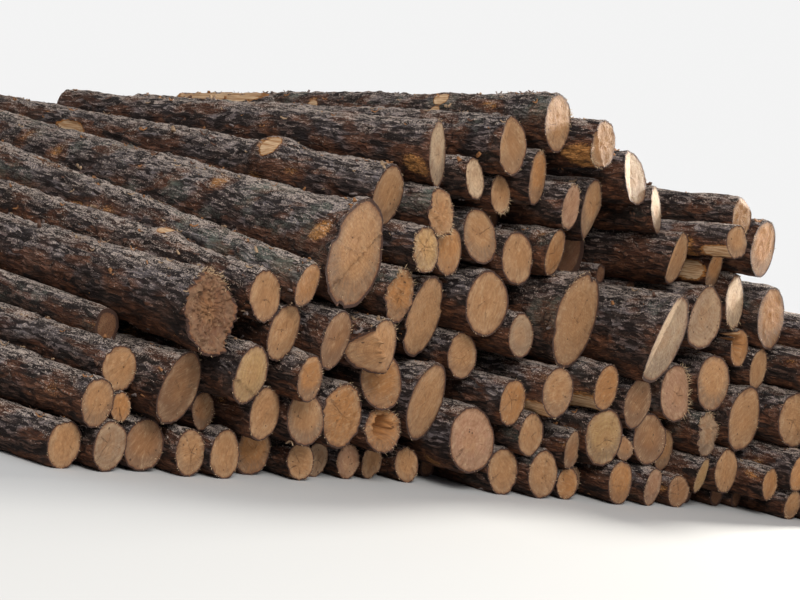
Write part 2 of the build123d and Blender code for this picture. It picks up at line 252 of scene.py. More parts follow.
def ripples(rng, theta, s, waves, turns, shortest):
    """Sum of cosines in angle and length, with unit spread. Whole turns close it."""
    total = np.zeros(np.broadcast(theta, s).shape)
    for _ in range(waves):
        round_ = rng.integers(0, turns + 1)
        pitch = 2 * np.pi / (shortest * (1 + 4 * rng.random() ** 2))
        total += np.cos(round_ * theta + pitch * rng.choice([-1, 1]) * s
                        + rng.random() * 2 * np.pi)
    return total / math.sqrt(waves / 2)


def plates(rng, theta, s, girth, wide, long):
    """Distance from the furrow (0 in it, about 1 within a plate), and a height for
    each plate. Seeds lie one in each cell of a grid, moved about inside it."""
    cells_round = max(5, round(girth / wide))
    cells_along = math.ceil(LONGEST / long)
    shift = rng.random((cells_along, cells_round, 2))
    tall = rng.random((cells_along, cells_round))
    u = theta / (2 * np.pi) * cells_round
    v = (s + 0.5) / long
    nearest = np.full(u.shape, 9.0)
    second = np.full(u.shape, 9.0)
    height = np.zeros(u.shape)
    for step_v in (-1, 0, 1):
        for step_u in (-1, 0, 1):
            cell_u = np.floor(u).astype(int) + step_u
            cell_v = np.floor(v).astype(int) + step_v
            pick = shift[cell_v % cells_along, cell_u % cells_round]
            away = np.hypot(cell_u + pick[..., 0] - u, cell_v + pick[..., 1] - v)
            closer = away < nearest
            second = np.where(closer, nearest, np.minimum(second, away))
            height = np.where(closer, tall[cell_v % cells_along, cell_u % cells_round], height)
            nearest = np.minimum(nearest, away)
    return np.clip((second - nearest) / FURROW_SIDE, 0, 1), height


# %% [markdown]
# ## What is particular to each log
# Most logs differ only in chance details. Each is listed here by node, from left to
# right, with the tone of its sawn wood. The word hidden marks the thin logs deep in
# the heap, which need few faces; their very dark tone is painted shade. The tone pale
# is painted sunlight, for the ends that are turned to the light.

# %% Tone of each log's wood
TONES = {
    # painted light: pale stands for sunlit ends, and hidden for ends in deep shade
    "pale": (0.66, 0.48, 0.31), "tan": (0.46, 0.240, 0.106), "orange": (0.46, 0.200, 0.062),
    "pink": (0.40, 0.215, 0.130), "brown": (0.25, 0.120, 0.055), "grey": (0.36, 0.240, 0.150),
    "yellow": (0.50, 0.305, 0.125), "torn": (0.17, 0.075, 0.042), "hidden": (0.10, 0.060, 0.040),
}
ENDS = {
    "flank_long_log": "tan", "giant_butt_log": "tan", "torn_butt_log": "torn",
    "top_log": "tan", "step_cut_log": "tan", "lobed_butt_log": "tan",
    "large_middle_log": "tan", "large_right_log": "pale", "hollow_log": "orange",
    "broken_hollow_log": "orange", "thin_log": "brown",
    "ground_left": "tan grey brown tan tan orange tan grey pink tan",
    "ground_middle": "tan hidden hidden tan tan orange grey orange pink brown",
    "ground_right": "hidden hidden orange hidden tan tan orange tan",
    "second_left": "tan orange brown tan tan orange",
    "second_middle": "tan pink hidden tan brown yellow",
    "second_right": "brown tan yellow tan orange tan tan",
    "third_left": "tan hidden brown yellow orange hidden",
    "third_middle": "orange hidden orange hidden tan hidden orange",
    "third_right": "brown hidden pink grey tan tan tan",
    "fourth_left": "tan tan orange brown",
    "fourth_middle": "orange hidden tan tan grey hidden",
    "fourth_right": "hidden tan hidden hidden tan tan orange tan",
    "fifth_left": "hidden yellow tan orange tan",
    "fifth_middle": "tan orange hidden hidden tan hidden tan",
    "fifth_right": "hidden hidden grey orange hidden pale hidden orange",
    "upper_left": "pale hidden pale tan tan hidden",
    "upper_right": "orange pink hidden hidden tan hidden pale pale",
    "upper_far_right": "tan tan orange",
}
ENDS = {node: tones.split() for node, tones in ENDS.items()}
for node, logs in LOGS.items():
    assert len(logs) == len(ENDS[node]), node
print("hidden logs:", sum(tones.count("hidden") for tones in ENDS.values()))

# %% [markdown]
# A log is found again by its node and its place in that list. The logs whose bodies
# lie open to view get the finest grid, and the others most of their rings near the
# sawn face, because a heap shows little else of them.

# %% How finely each log is divided
DETAIL = {  # corners round the log; rings near the face, along the body, near the far end
    "hidden": (20, 4, 5, 3), "plain": (52, 12, 13, 5), "shown": (88, 16, 44, 6),
    "fine": (116, 26, 104, 8),
}
FACE_RINGS = {"hidden": 3, "plain": 12, "shown": 18, "fine": 24}
FINE = {("flank_long_log", 0), ("giant_butt_log", 0), ("torn_butt_log", 0), ("top_log", 0),
        ("fourth_left", 0), ("fourth_left", 2), ("upper_left", 3)}
SHOWN = {("large_middle_log", 0), ("large_right_log", 0), ("lobed_butt_log", 0),
         ("step_cut_log", 0), ("second_left", 0), ("third_left", 0), ("third_left", 2),
         ("third_left", 3), ("fourth_left", 1), ("upper_left", 0), ("upper_left", 2),
         ("upper_right", 4), ("upper_right", 6), ("upper_right", 7)}


def level_of(key):
    """Name of the fineness of a log, given by its node and place."""
    if ENDS[key[0]][key[1]] == "hidden":
        return "hidden"
    return "fine" if key in FINE else "shown" if key in SHOWN else "plain"


print("finest:", len(FINE), "shown:", len(SHOWN))

# %% [markdown]
# Places on a log are told by the distance from its sawn face, and by the angle round
# it, where 0 is to the right and 90 on top. Bark has come off in some places down to
# the wood, and in others only down to its orange inner layer. Branches were cut off
# close to the bark, and leave a round stub.

# %% Bare patches, orange patches and branch stubs
PEELED = {  # off to the wood: distance, angle, half length, half width
    ("top_log", 0): [(2.20, 126, 0.30, 0.095)],
    ("flank_long_log", 0): [(2.02, 172, 0.10, 0.045)],
    ("fourth_left", 2): [(1.24, 208, 0.08, 0.035)],
    ("third_middle", 6): [(0.06, 240, 0.14, 0.075)],
    ("third_middle", 4): [(0.05, 235, 0.12, 0.06)],
    ("fifth_right", 3): [(0.10, 190, 0.10, 0.055)],
    ("fifth_left", 4): [(0.16, 215, 0.10, 0.04)],
    ("upper_far_right", 0): [(0.05, 225, 0.12, 0.04)],
}
ORANGE = {  # off to the inner layer, told in the same way
    ("top_log", 0): [(0.08, 200, 0.06, 0.04), (0.22, 205, 0.07, 0.035), (0.38, 205, 0.08, 0.035),
                     (0.56, 210, 0.07, 0.04), (0.9, 200, 0.08, 0.03)],
    ("flank_long_log", 0): [(2.02, 176, 0.20, 0.075), (0.70, 190, 0.10, 0.05)],
    ("fourth_left", 2): [(1.24, 208, 0.18, 0.06), (1.9, 210, 0.3, 0.06)],
    ("upper_right", 4): [(0.05, 215, 0.12, 0.06)],
    ("upper_far_right", 0): [(0.15, 220, 0.3, 0.08)],
    ("fifth_right", 3): [(0.15, 195, 0.22, 0.08)],
    ("third_middle", 6): [(0.10, 235, 0.25, 0.10)],
    ("third_middle", 4): [(0.10, 230, 0.22, 0.08)],
    ("upper_left", 0): [(0.05, 215, 0.15, 0.06)],
    ("fourth_left", 0): [(1.3, 200, 0.25, 0.06), (0.7, 215, 0.15, 0.05)],
    ("giant_butt_log", 0): [(1.6, 215, 0.4, 0.07), (0.9, 220, 0.2, 0.06)],
}
STUBS = {  # distance, angle, width, height over the bark
    ("flank_long_log", 0): [(0.66, 135, 0.110, 0.045)],
    ("top_log", 0): [(0.65, 140, 0.090, 0.012), (1.48, 165, 0.070, 0.012),
                     (0.66, 172, 0.060, 0.008)],
    ("fourth_left", 0): [(0.62, 100, 0.07, 0.03)],
}
print("stubs:", sum(len(stubs) for stubs in STUBS.values()))

# %% [markdown]
# ## Shape of a sawn face
# A faller seldom cuts straight through. Two cuts that meet at a slight angle leave a
# crease, two at different depths a step with a ridge of torn wood, and a felling notch
# a long slope. A rotten heart leaves a hole. All of these are told as how far the face
# stands out along the axis at each place, so bark and face can follow the same shape.

# %% Creases, steps, notch and hollows
CREASES = {  # direction of the slope, distance of the crease from the pith, slope before and after
    ("upper_right", 4): (-25, -0.045, 0.10, -0.04), ("upper_right", 6): (-15, -0.02, 0.06, -0.28),
    ("large_right_log", 0): (-18, -0.03, 0.0, -0.34), ("upper_left", 3): (-25, -0.05, 0.12, -0.25),
    ("fifth_middle", 6): (-10, -0.05, 0.0, -0.24), ("third_right", 2): (20, 0.07, 0.0, 0.35),
    ("fifth_right", 2): (150, 0.02, 0.03, -0.16), ("fifth_middle", 4): (-50, 0.09, 0.0, 0.40),
    ("upper_far_right", 1): (70, 0.07, 0.0, 0.50), ("giant_butt_log", 0): (-50, 0.03, 0.0, -0.10),
    ("fourth_left", 1): (-30, 0.03, 0.0, 0.12),
}
STEPS = {  # direction across the step, distance from the pith, depth
    ("giant_butt_log", 0): (-50, 0.030, 0.014), ("fifth_left", 2): (240, 0.05, 0.014),
    ("third_right", 3): (100, 0.05, 0.014), ("second_right", 0): (95, 0.06, 0.008),
    ("upper_right", 4): (215, 0.055, 0.009), ("lobed_butt_log", 0): (70, 0.10, 0.008),
    ("fourth_middle", 0): (120, 0.04, 0.014), ("second_middle", 4): (20, 0.05, 0.010),
    ("third_left", 3): (250, 0.06, 0.008), ("second_middle", 5): (200, 0.05, 0.010),
}
HOLLOWS = {  # direction, distance as a share of the radius, width, depth
    ("hollow_log", 0): (140, 0.30, 0.095, 0.15), ("broken_hollow_log", 0): (75, 0.10, 0.11, 0.12),
}
NOTCHES = {("step_cut_log", 0): (215, 0.34, 30)}  # direction, share cut away, angle to the axis
TORN = {  # height of the torn waves
    ("torn_butt_log", 0): 0.013, ("fifth_left", 1): 0.006, ("fourth_middle", 0): 0.007,
    ("fifth_left", 2): 0.006, ("broken_hollow_log", 0): 0.006, ("third_right", 3): 0.007,
    ("second_left", 5): 0.005,
}
STEP_WALL = 0.006    # run of a step's wall
NOTCH_RIDGE = 0.020  # height of the torn wood along the edge of a notch


def swells(rng, x, y, waves, shortest):
    """Sum of straight waves over the face, in all directions, with unit spread."""
    total = np.zeros(x.shape)
    for _ in range(waves):
        pitch = 2 * np.pi / (shortest * (1 + 3 * rng.random() ** 2))
        turn, start = 2 * np.pi * rng.random(2)
        total += np.cos(pitch * (x * math.cos(turn) + y * math.sin(turn)) + start)
    return total / math.sqrt(waves / 2)


def along_direction(x, y, degrees):
    """How far the offset (x, y) from the pith reaches in a direction."""
    return x * math.cos(math.radians(degrees)) + y * math.sin(math.radians(degrees))


def ridge(reach, wide, torn):
    """A bell of unit height over the reach, broken up by the torn waves."""
    return np.exp(-(reach / wide) ** 2) * np.clip(torn, 0, 2)


def standing_out(log, key, x, y):
    """How far the sawn face stands out along the axis, at offsets from the axis: a sum
    of creases (a bent plane), steps, torn waves, the notch's slope and the hollow."""
    rng = np.random.default_rng([len(key[0]), key[1], 7])
    torn = swells(rng, x, y, 24, 0.022)
    broad = swells(rng, x, y, 10, 0.090)
    out = np.zeros(x.shape)
    if key in CREASES:
        degrees, place, before, after = CREASES[key]
        reach = along_direction(x, y, degrees) - place + 0.002 * broad
        out -= np.where(reach < 0, before, after) * reach
    if key in STEPS:
        degrees, place, depth = STEPS[key]
        reach = along_direction(x, y, degrees) - place + 0.005 * broad
        out -= depth * np.clip(reach / STEP_WALL + 0.5, 0, 1)
        out += 0.6 * depth * ridge(reach + STEP_WALL / 2, 0.005, 0.6 + torn)
    if key in TORN:
        out += TORN[key] * (0.9 * np.abs(torn) + 0.6 * broad - 1.3)
    if key in NOTCHES:
        degrees, share, slope = NOTCHES[key]
        reach = along_direction(x, y, degrees) - 2 * log["radius"] * (0.5 - share)
        out -= np.maximum(reach, 0) / math.tan(math.radians(slope))
        out += NOTCH_RIDGE * ridge(reach + 0.006, 0.009, 0.4 + torn)
    if key in HOLLOWS:
        degrees, share, wide, deep = HOLLOWS[key]
        turned = math.radians(degrees)
        middle = share * log["radius"] * np.array([math.cos(turned), math.sin(turned)])
        reach = np.hypot(x - middle[0], y - middle[1]) / (wide / 2) + 0.10 * torn
        out -= deep * np.clip((1.15 - reach) / 0.4, 0, 1) ** 0.7
    return out


print("faces with a shape of their own:", len(set(CREASES) | set(STEPS) | set(TORN)))

# %% [markdown]
# ## One log as a grid
# A log is a grid of rings: angle round the axis one way, place along it the other. The
# first and last ring lie in the saw cuts, wherever the bark meets them. From there,
# smaller rings run inwards over each sawn face to the pith, so the log is one closed
# skin. The bark is furrowed lengthwise. The logs that are open to view have plates as
# well, in two sizes, and the plates of the oldest butts are larger and deeper.

# %% Places on a log
FRONT_PART, FAR_PART = 0.15, 0.03  # shares of the length with crowded rings
RIM_FADE = 0.16                    # length over which the shape of the butt's rim fades


def angle_from(theta, degrees):
    """Signed angle from a direction, between minus and plus half a turn."""
    return (theta - math.radians(degrees) + np.pi) % (2 * np.pi) - np.pi


def patch(log, theta, s, listed):
    """1 in the middle of the nearest listed patch, 0.5 at its edge, 0 far outside."""
    mask = np.zeros(s.shape)
    for place, degrees, length, width in listed:
        reach = np.hypot((s - place) / length, angle_from(theta, degrees) * log["radius"] / width)
        mask = np.maximum(mask, np.clip(1 - 0.5 * reach, 0, 1))
    return mask


def outward(log, x, y):
    """The offset of x to the right and y upwards from the axis, as a vector."""
    return x[..., None] * log["right"] + y[..., None] * log["over"]


def cut_hit(log, side, offset):
    """Place along the axis where lines parallel to it, at these offsets, meet a cut."""
    spot, normal = log["cuts"][side]
    return ((spot - log["start"]) @ normal - offset @ normal) / (log["along"] @ normal)


def ring_shares(level):
    """Shares of the length at which rings lie, crowded at both ends."""
    _, front, body, far = DETAIL[level]
    return np.concatenate([FRONT_PART * np.linspace(0, 1, front) ** 1.6,
                           np.linspace(FRONT_PART, 1 - FAR_PART, body)[1:-1],
                           1 - FAR_PART * np.linspace(1, 0, far) ** 1.6])[:, None]


def stem(log, theta, s, rng):
    """Distance of the bark from the axis before it is roughened: taper, root swelling,
    flutes as the rim shows them, and a slightly oval section."""
    even = log["radius"] + log["taper"] * s / log["length"]
    root = log["swelling"] * flare(s - log["low"])
    angle, share = log["rims"][0]
    rim = np.interp((theta + np.pi) % (2 * np.pi) - np.pi, angle, share, period=2 * np.pi)
    butt = 1 + (rim - 1) * np.clip(1 - s / RIM_FADE, 0, 1) ** 1.5
    turns = rng.random(3) * 2 * np.pi
    oval = 0.018 * np.cos(2 * theta + turns[0]) + 0.012 * np.cos(3 * theta + turns[1] + 1.5 * s)
    lobes = 0.12 * root * np.cos(4 * theta + turns[2])
    return (even + root) * butt * (1 + oval) + lobes


print("rings on logs:", {level: len(ring_shares(level)) for level in DETAIL})

# %% [markdown]
# The bark is that stem with its roughness on it. Where the bark is off, the wood lies
# lower and is smooth, and a cut branch lifts the bark round it. Near both ends the
# roughness is halved, so that the rims stay whole. The places of the first and last
# ring depend on the saw cut and on the thickness there, so they are found in turns.

# %% Wrap one log in bark
COARSE = {("torn_butt_log", 0): 1.7, ("third_left", 0): 1.3, ("lobed_butt_log", 0): 1.3}
PLATE, SMALL_PLATE = (0.036, 0.130), (0.020, 0.060)  # width and length
PLATE_HIGH, SMALL_PLATE_HIGH = 0.0060, 0.002
FURROW_DEEP, LUMP_HIGH, GRAIN_HIGH = 0.0045, 0.0035, 0.0022
BARK_THICK = 0.005  # how much lower bare wood lies
END_FADE = 0.02     # length over which the roughness fades at both ends
RING_TURNS = 3      # times that the first and last ring are found again


def bark_skin(log, key, rng, level):
    """Rings of points from the front cut to the far cut, with what the bark shows there:
    how far it is peeled, how far flaked to its orange layer, how much it faces up, and
    its furrows, from 0 in one to 1 between them."""
    around = DETAIL[level][0]
    theta = np.linspace(0, 2 * np.pi, around, endpoint=False)[None, :]
    share = ring_shares(level)
    round_dir = outward(log, np.cos(theta), np.sin(theta))
    s = share * log["length"] + 0 * theta
    shape = rng.integers(1 << 30)
    for _ in range(RING_TURNS):
        body = stem(log, theta, s, np.random.default_rng(shape))
        edge = body[..., None] * round_dir
        x, y = body * np.cos(theta), body * np.sin(theta)
        first = cut_hit(log, 0, edge[:1]) - standing_out(log, key, x[:1], y[:1])
        last = cut_hit(log, 1, edge[-1:])
        s = first + (last - first) * share
    furrows = np.abs(ripples(rng, theta, s, 22, 15, 0.22))
    rough = FURROW_DEEP - FURROW_DEEP * furrows + LUMP_HIGH * ripples(rng, theta, s, 14, 4, 0.5)
    rough += GRAIN_HIGH * ripples(rng, theta, s, 30, 15, 0.06)
    flaked = ripples(rng, theta, s, 20, 5, 0.25)
    furrow = np.clip(furrows * 3.5 + 0.15, 0, 1)
    if level in ("fine", "shown"):
        girth = 2 * np.pi * log["radius"]
        bend = 0.04 * flaked
        coarse = COARSE.get(key, 1.0)
        gap, tall = plates(rng, theta + bend, s, girth, PLATE[0] * coarse, PLATE[1] * coarse)
        small, bits = plates(rng, theta + 0.5 * bend, s, girth, *SMALL_PLATE)
        rough += PLATE_HIGH * coarse * (np.minimum(gap * 1.5, 1) * (0.3 + 0.7 * tall) - 0.8)
        rough += SMALL_PLATE_HIGH * small * bits
        furrow = np.minimum(furrow, np.clip(gap * 2.0, 0, 1))
    peeled = patch(log, theta, s, PEELED.get(key, []))
    orange = patch(log, theta, s, ORANGE.get(key, []))
    off = np.clip(6 * peeled - 2.5, 0, 1)
    rough = rough * (1 - 0.85 * off) - BARK_THICK * off
    for place, degrees, wide, proud in STUBS.get(key, []):
        reach = np.hypot(s - place, angle_from(theta, degrees) * log["radius"])
        collar = np.clip((1.7 * wide - reach) / (1.1 * wide), 0, 1)
        rough = rough * (1 - 0.7 * collar) + proud * collar ** 2 * (3 - 2 * collar)
        peeled = np.maximum(peeled, np.clip(0.5 + 1.6 * (0.46 - reach / wide), 0, 1))
        orange = np.maximum(orange, np.clip(1.1 - reach / wide, 0, 0.65))
    inside = np.clip(np.minimum(s - first, last - s) / END_FADE, 0, 1)
    skin = body + rough * (0.55 + 0.45 * inside)
    edge = skin[..., None] * round_dir
    x, y = skin * np.cos(theta), skin * np.sin(theta)
    s[0] = cut_hit(log, 0, edge[0]) - standing_out(log, key, x[0], y[0])
    s[-1] = cut_hit(log, 1, edge[-1])
    points = log["start"] + s[..., None] * log["along"] + edge
    upper = np.broadcast_to(0.5 + 0.5 * np.sin(theta), s.shape)
    flaked = np.clip(0.45 + 0.18 * flaked + 0.8 * np.clip(orange - 0.2, 0, 1), 0, 1)
    furrow = 1 - (1 - furrow) * inside * np.clip(1 - 2 * peeled, 0, 1)
    return points, np.stack([x, y, s], -1), np.stack([peeled, flaked, upper], -1), furrow


print("plates of", PLATE, "and", SMALL_PLATE, "metres")

# %% [markdown]
# The sawn face takes its rim from the bark and shrinks it in rings towards the pith.
# Each ring is pushed out or in along the axis by the shape of the face, and by the
# small waves that a saw leaves.

# %% Fill in a sawn face
def sawn_face(log, key, rng, rim, side, level):
    """Offsets and points of rings from the rim (left out) to the pith. The share of the
    rim's distance falls evenly, and a little faster near the rim."""
    count = FACE_RINGS[level] if side == 0 else max(3, FACE_RINGS[level] // 3)
    share = (1 - np.linspace(0, 1, count + 1)[1:] ** 1.15)[:, None]
    share[-1] = 0.0
    out = rim - log["start"]
    x, y = share * (out @ log["right"]), share * (out @ log["over"])
    offset = outward(log, x, y)
    s = cut_hit(log, side, offset)
    angle, away = np.arctan2(y, x), np.hypot(x, y)
    waves = 0.0010 * ripples(rng, angle, away, 16, 6, 0.05) * np.minimum(1, away / 0.03)
    if side == 0:
        s = s - standing_out(log, key, x, y)
    points = log["start"] + (s + waves)[..., None] * log["along"] + offset
    return points, x, y, share


print("rings on a plain sawn face:", FACE_RINGS["plain"])

# %% [markdown]
# ## Loose bits
# Bark flakes curl up on top of the logs, and the saw leaves tufts of splinters on some
# rims. Each kind is one small closed shape, worked out once for all its copies: a
# flake is a thin curled strip, a splinter a pointed four-sided needle.

# %% Curled flakes and splinters
FLAKE_U, FLAKE_V, FLAKE_TOP = np.meshgrid([-1, -0.35, 0.35, 1], [-0.5, 0.5], [1, 0], indexing="ij")
FLAKE_SIDES = (0, 2, 6, 4), (1, 5, 7, 3), (0, 4, 5, 1), (2, 3, 7, 6)  # of its first third
FLAKE_FACES = np.array([[4 * third + corner for corner in side]
                        for side in FLAKE_SIDES for third in range(3)]
                       + [[0, 1, 3, 2], [12, 14, 15, 13]])
FLAKE_TURN, FLAKE_SUNK = 0.9, 0.002       # most turn either way, and depth in the bark
NEEDLE_SPREAD, NEEDLE_SUNK = 0.55, 0.004  # spread of directions, and depth in the wood


def flakes(rng, places, along, out, long, thick):
    """Curled strips, each turned a little. Their height grows with the square of the
    place along the strip."""
    turn = (rng.random((len(out), 1)) - 0.5) * 2 * FLAKE_TURN
    length = along * np.cos(turn) + np.cross(out, along) * np.sin(turn)
    width = np.cross(out, length)
    size = long * (0.4 + 0.9 * rng.random(len(places)) ** 2)
    slim = size * (0.25 + 0.35 * rng.random(len(places)))
    curl = size * (0.1 + 0.5 * rng.random(len(places)) ** 2)
    u, v, top = FLAKE_U.reshape(1, -1), FLAKE_V.reshape(1, -1), FLAKE_TOP.reshape(1, -1)
    taper = 1 - 0.35 * u ** 2
    high = curl[:, None] * u ** 2 + thick * (top - 0.3) - FLAKE_SUNK
    return (places[:, None] + (size[:, None] * u / 2)[..., None] * length[:, None]
            + (slim[:, None] * v * taper)[..., None] * width[:, None]
            + high[..., None] * out[:, None])


NEEDLE_SIDES = np.array([(i, (i + 1) % 4, 4) for i in range(4)])


def splinters(rng, places, away, long, thick):
    """Needles on a square foot, all pointing roughly away, each of its own length."""
    lean = unit(away + NEEDLE_SPREAD * rng.standard_normal(places.shape))
    side = unit(np.cross(lean, UP))
    over = np.cross(side, lean)
    size = long * (0.3 + 0.7 * rng.random(len(places)))
    wide = thick * (0.5 + 0.5 * rng.random(len(places)))[:, None]
    foot = places - NEEDLE_SUNK * lean
    square = [foot + wide * (a * side + b * over) for a, b in SQUARE]
    return np.stack([*square, foot + size[:, None] * lean], 1)


print("corners of a flake:", FLAKE_U.size)

# %% [markdown]
# ## From grids to one mesh for each node
# Every log of a node goes into one mesh, because they share a node in the CAD. The
# faces of a ring grid follow from the ring numbers alone, so they are worked out as
# arrays as well. The values that the finishes need, such as the tone of the wood, the
# place on the log and where the bark is off, are stored with the corners.

# %% Join rings into faces
def between(outer, inner):
    """Four corners of each face between neighbouring rings of corner numbers."""
    quads = [outer, np.roll(outer, -1, axis=-1), np.roll(inner, -1, axis=-1), inner]
    return np.stack(quads, -1).reshape(-1, 4)


class Skin:
    """Corners, faces and corner values of a piece, gathered log by log."""
    KINDS = {"wear": 3, "tone": 3, "mark": 3, "lie": 3, "flat": 2}

    def __init__(self):
        self.points, self.quads, self.tris, self.count = [], [], [], 0
        self.values = {kind: [] for kind in self.KINDS}
        self.quad_finish, self.tri_finish, self.sharp = [], [], []

    def corners(self, points, **values):
        """Adds corners with their values, and returns their numbers in the same grid."""
        flat_points = points.reshape(-1, 3)
        numbers = self.count + np.arange(len(flat_points))
        self.count += len(flat_points)
        self.points.append(flat_points)
        for kind, width in self.KINDS.items():
            value = np.asarray(values.get(kind, 0.0), float)
            value = value.reshape(-1, width) if value.ndim else np.full((1, width), value)
            self.values[kind].append(np.broadcast_to(value, (len(flat_points), width)))
        return numbers.reshape(points.shape[:-1])

    def faces(self, corners, finish):
        """Adds faces of three or four corners with the number of their finish."""
        four = corners.shape[1] == 4
        (self.quads if four else self.tris).append(corners)
        (self.quad_finish if four else self.tri_finish).append(np.full(len(corners), finish))

    def build(self, name, finishes):
        """Makes the mesh object with its corner values, smooth except at the rims. Nothing
        reaches below the floor."""
        quads, tris = np.concatenate(self.quads), np.concatenate(self.tris)
        loops = np.concatenate([quads.ravel(), tris.ravel()]).astype(np.int32)
        first_tri = len(quads) * 4
        starts = np.concatenate([np.arange(len(quads)) * 4, first_tri + np.arange(len(tris)) * 3])
        mesh = bpy.data.meshes.new(name)
        mesh.vertices.add(self.count)
        points = np.concatenate(self.points)
        points[:, 2] = np.maximum(points[:, 2], 0.0)
        mesh.vertices.foreach_set("co", points.astype(np.float32).ravel())
        mesh.loops.add(len(loops))
        mesh.loops.foreach_set("vertex_index", loops)
        mesh.polygons.add(len(starts))
        mesh.polygons.foreach_set("loop_start", starts.astype(np.int32))
        finish = np.concatenate(self.quad_finish + self.tri_finish).astype(np.int32)
        mesh.polygons.foreach_set("material_index", finish)
        mesh.update(calc_edges=True)
        for kind in ("wear", "tone", "mark", "lie"):
            value = np.concatenate(self.values[kind]).astype(np.float32).ravel()
            mesh.attributes.new(kind, "FLOAT_VECTOR", "POINT").data.foreach_set("vector", value)
        place = np.concatenate(self.values["flat"]).astype(np.float32)
        mesh.uv_layers.new(name="sawn_face").data.foreach_set("uv", place[loops].ravel())
        mesh.polygons.foreach_set("use_smooth", np.ones(len(starts), bool))
        ends = np.empty(len(mesh.edges) * 2, np.int32)
        mesh.edges.foreach_get("vertices", ends)
        on_rim = np.zeros(self.count, bool)
        on_rim[np.concatenate(self.sharp)] = True
        rims = on_rim[ends.reshape(-1, 2)].all(1)
        mesh.attributes.new("sharp_edge", "BOOLEAN", "EDGE").data.foreach_set("value", rims)
        for material in finishes:
            mesh.materials.append(material)
        return put_in_scene(name, mesh)


print("values held at each corner:", list(Skin.KINDS))

# %% [markdown]
# ## Small tools for finishes
# A finish is a tree of shader nodes. Wired one by one, even a short sum takes many lines.
# So each output is wrapped as a signal, and a sum, difference or product of signals puts
# in the node that works it out: the finishes below then read like formulas.

# %% Signals that run through a shader tree
class Signal:
    """The output of a node. Sums, differences and products give new signals."""

    def __init__(self, socket):
        self.socket = socket
        self.tree = socket.id_data

    def __add__(self, other):
        return calc("ADD", self, other)

    def __sub__(self, other):
        return calc("SUBTRACT", self, other)

    def __rsub__(self, other):
        return calc("SUBTRACT", other, self)

    def __mul__(self, other):
        return calc("MULTIPLY", self, other)


def connect(value, socket):
    """Links a signal to an input, or sets the input to a number or colour."""
    if isinstance(value, Signal):
        value.tree.links.new(value.socket, socket)
    elif isinstance(value, tuple):
        socket.default_value = (*value, 1.0)[:len(socket.default_value)]
    else:
        socket.default_value = value


def put(tree, kind, inputs=None, **settings):
    """Adds a node, with its settings made and its inputs connected."""
    node = tree.nodes.new("ShaderNode" + kind)
    for name, value in settings.items():
        setattr(node, name, value)
    for name, value in (inputs or {}).items():
        connect(value, node.inputs[name])
    return node


def signal(tree, kind, inputs=None, output=0, **settings):
    """Adds a node and gives one of its outputs."""
    return Signal(put(tree, kind, inputs, **settings).outputs[output])


def calc(operation, a, b=0.0, clamp=False):
    """One arithmetic step on numbers, of which at least one is a signal."""
    tree = a.tree if isinstance(a, Signal) else b.tree
    return signal(tree, "Math", {0: a, 1: b}, operation=operation, use_clamp=clamp)


print("signals can be added and multiplied")

# %% [markdown]
# Nearly every pattern below is made by four steps: noise gives soft spots, a band cuts
# out the values between two limits, a mix lays one colour over another by a share, and
# arithmetic on vectors stretches the place at which a pattern is read. Layers are such
# mixes, one over the other.

# %% Bands, mixes, noise and vectors
def band(value, low, high, smooth=True):
    """0 below low, 1 above high, and a soft rise between."""
    kind = "SMOOTHSTEP" if smooth else "LINEAR"
    inputs = {"Value": value, "From Min": low, "From Max": high}
    return signal(value.tree, "MapRange", inputs, interpolation_type=kind, clamp=True)


def mix(share, a, b):
    """The colour a where the share is 0, the colour b where it is 1."""
    node = put(share.tree, "Mix", data_type="RGBA")
    for number, value in ((0, share), (6, a), (7, b)):
        connect(value, node.inputs[number])
    return Signal(node.outputs[2])


def layered(colour, *layers):
    """The colour under layers, each told by a pattern, the values of the pattern where
    the layer starts and is full, its strength and its own colour."""
    for pattern, start, full, strength, paint in layers:
        colour = mix(band(pattern, start, full) * strength, colour, paint)
    return colour


def noise(place, scale, detail=4.0, rough=0.55):
    """Soft noise from 0 to 1."""
    inputs = {"Vector": place, "Scale": scale, "Detail": detail, "Roughness": rough}
    return signal(place.tree, "TexNoise", inputs)


def vector(operation, a, b):
    """One arithmetic step on vectors. The second one may be three numbers or one."""
    second = {"Scale": b} if operation == "SCALE" else {1: b}
    return signal(a.tree, "VectorMath", {0: a, **second}, operation=operation)


def joined(tree, x=0.0, y=0.0, z=0.0):
    """A vector from three numbers."""
    return signal(tree, "CombineXYZ", {0: x, 1: y, 2: z})


def three_numbers(value):
    """The three numbers in a vector."""
    return [Signal(socket) for socket in put(value.tree, "SeparateXYZ", {0: value}).outputs]


def length_of(value):
    """How long a vector is."""
    return signal(value.tree, "VectorMath", {0: value}, "Value", operation="LENGTH")


def held(tree, name):
    """The corner value of that name, as a vector."""
    return signal(tree, "Attribute", output="Vector", attribute_name=name)


print("pattern tools ready")

# %% [markdown]
# A material starts as an empty tree with its Principled shader. At the end its colour
# and its relief are joined to that shader. Roughness and shine are the same all over a
# finish here, so they are plain numbers on the shader.

# %% Start and end of a finish
def new_finish(name):
    """A new material, its tree and its Principled shader."""
    material = bpy.data.materials.new(name)
    material.use_nodes = True
    tree = material.node_tree
    return material, tree, tree.nodes["Principled BSDF"]


def complete(shader, colour, relief, rough, shine, depth, strength):
    """Joins colour and relief to the shader, with a depth in metres for the relief."""
    bumps = {"Height": relief, "Distance": depth, "Strength": strength}
    connect(colour, shader.inputs["Base Color"])
    connect(signal(colour.tree, "Bump", bumps), shader.inputs["Normal"])
    connect(rough, shader.inputs["Roughness"])
    connect(shine, shader.inputs["Specular IOR Level"])


print("finishes can be started and completed")

# %% [markdown]
# ## Weathering, shared by bark and sawn wood
# Bark and wood are dusted alike by the forest: large soft stains and fine grains of
# dirt. One node group holds that effect, and each finish sets its own strength.

